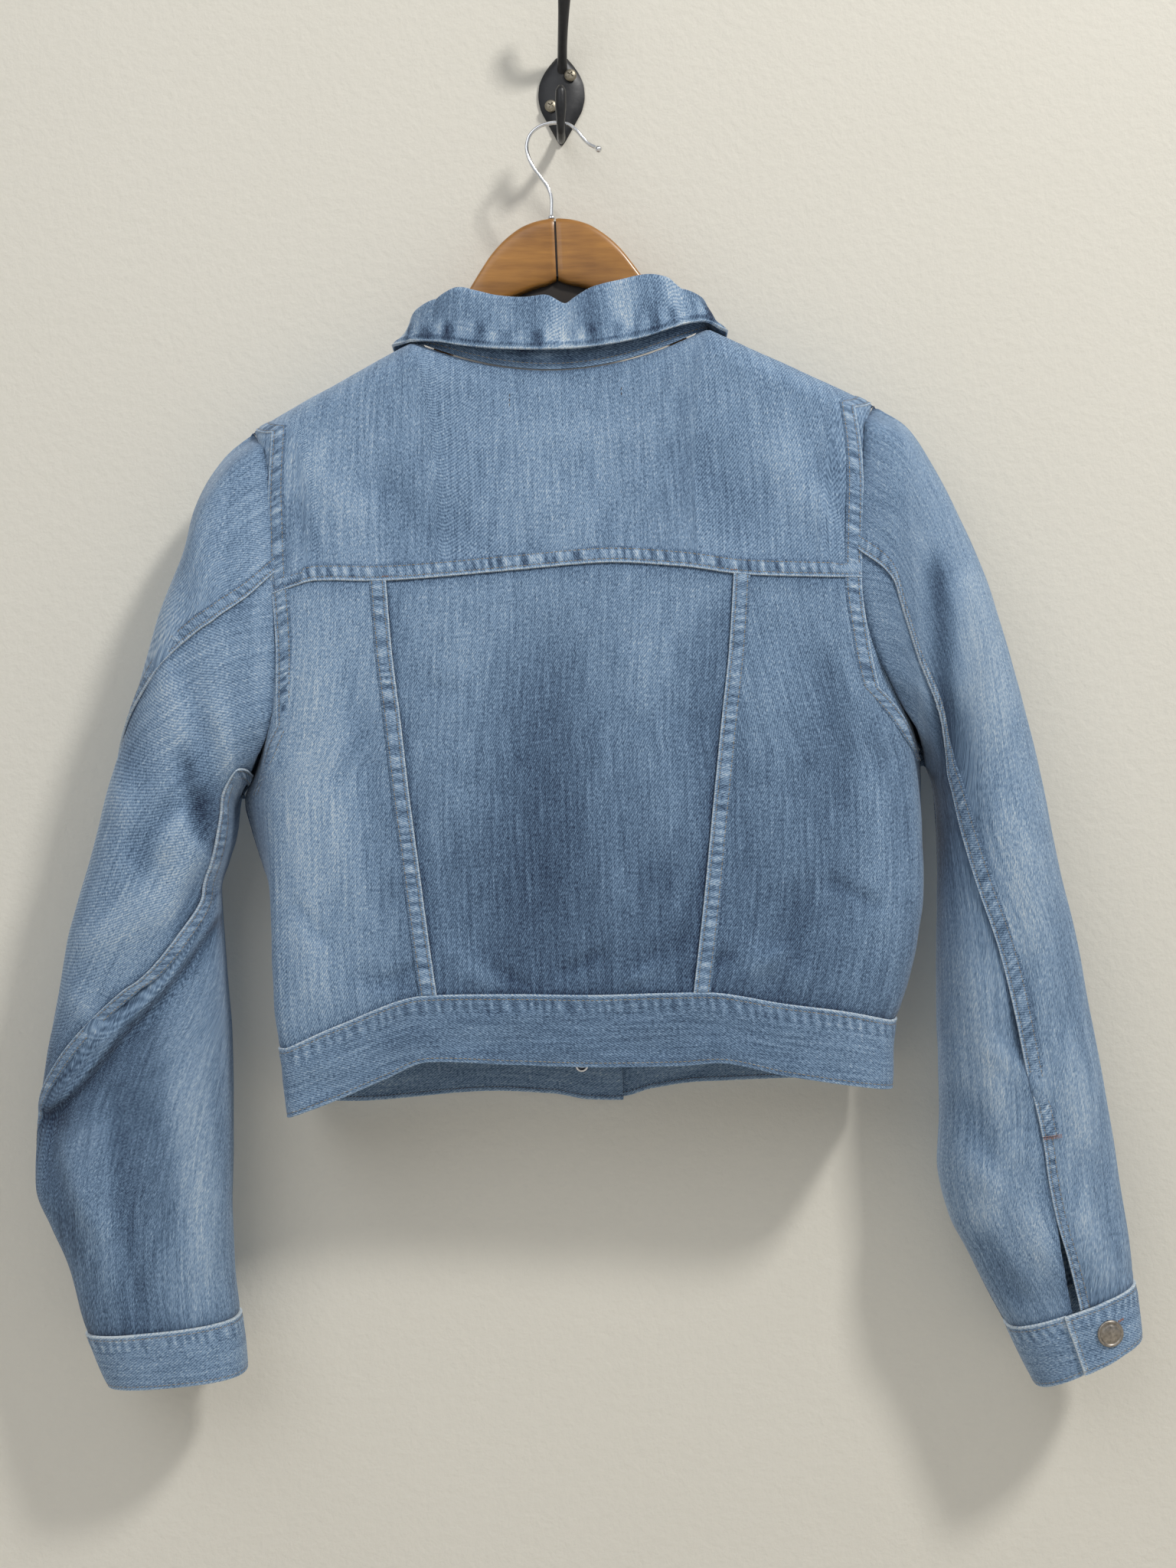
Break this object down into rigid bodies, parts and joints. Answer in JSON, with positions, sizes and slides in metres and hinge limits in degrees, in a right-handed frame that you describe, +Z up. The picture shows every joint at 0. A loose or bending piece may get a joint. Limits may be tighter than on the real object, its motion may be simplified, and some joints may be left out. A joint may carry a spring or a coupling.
{
  "type": "denim jacket on a hanger and wall hook",
  "caption": "Cropped denim trucker-cut jacket with set-in sleeves, shirt collar, waistband and button cuffs, hung closed on a wooden hanger with a wire hook from a cast wall hook.",
  "frame": {"origin": "centre of the wall hook plate's flat back face, where it meets the wall", "axes": "+Y into the wall, +Z up, +X to the right when looking at the jacket's back"},
  "size_m": [0.71, 0.1041, 0.9236],
  "materials": {
    "denim": "washed light blue twill, faded at the seams",
    "button_metal": "antique pewter",
    "tack_metal": "plain silver",
    "hanger_wood": "varnished honey brown",
    "hanger_chrome": "polished wire",
    "hook_iron": "satin black",
    "screw_brass": "worn"
  },
  "bodies": {
    "root": {"back_yoke": "denim", "back_centre": "denim", "back_side_left": "denim", "back_side_right": "denim", "front_left": "denim", "front_right": "denim", "placket_left": "denim", "placket_right": "denim", "waistband": "denim", "collar_stand": "denim", "collar_fall": "denim", "sleeve_top_left": "denim", "sleeve_top_right": "denim", "sleeve_under_left": "denim", "sleeve_under_right": "denim", "cuff_left": "denim", "cuff_right": "denim", "front_button_1": "button_metal", "front_button_2": "button_metal", "front_button_3": "button_metal", "front_button_4": "button_metal", "front_button_5": "button_metal", "waist_button": "button_metal", "cuff_button_left": "button_metal", "cuff_button_right": "button_metal", "waist_tack": "tack_metal", "hanger_left": "hanger_wood", "hanger_right": "hanger_wood", "hanger_wire": "hanger_chrome", "wire_collar": "hanger_chrome", "wire_tip": "hanger_chrome", "wall_hook": "hook_iron", "screw_1": "screw_brass", "screw_2": "screw_brass"}
  },
  "joints": []
}
